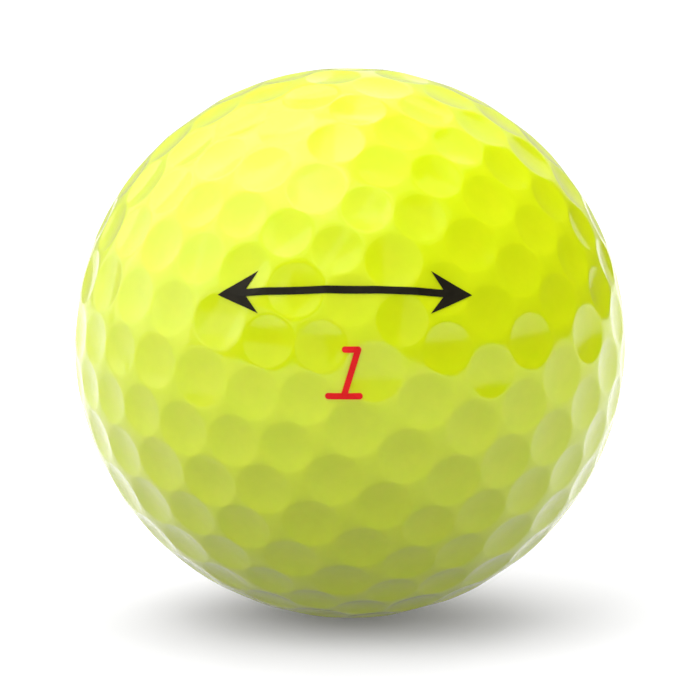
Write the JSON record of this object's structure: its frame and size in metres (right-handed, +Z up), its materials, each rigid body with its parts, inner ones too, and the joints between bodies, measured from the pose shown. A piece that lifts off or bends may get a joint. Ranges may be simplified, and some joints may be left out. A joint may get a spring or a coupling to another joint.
{
  "type": "golf ball",
  "caption": "Layered golf ball with a dual rubber core, a stiff casing layer, a round-dimpled glossy cover and printed alignment marks.",
  "frame": {"origin": "centre of the ball", "axes": "+Z up as the ball lies; the printed face looks towards -Y, with its printed pole tipped up by 21 degrees and turned 1.2 degrees to the left; +X to the right of that face"},
  "size_m": [0.0426, 0.0427, 0.0426],
  "materials": {
    "inner_core_rubber": "moulded soft polybutadiene rubber, matt",
    "outer_core_rubber": "moulded firm polybutadiene rubber, ground matt",
    "casing_ionomer": "injection moulded ionomer, satin",
    "cover_urethane": "cast fluorescent yellow urethane under a glossy clear coat",
    "black_ink": "pad-printed black ink under the clear coat",
    "red_ink": "pad-printed red ink under the clear coat"
  },
  "bodies": {
    "root": {"inner_core": "inner_core_rubber", "outer_core": "outer_core_rubber", "casing_layer": "casing_ionomer", "cover": "cover_urethane", "front_alignment_mark": "black_ink", "front_play_number": "red_ink", "rear_alignment_mark": "black_ink", "rear_play_number": "red_ink", "side_alignment_stamp": "black_ink"}
  },
  "joints": []
}
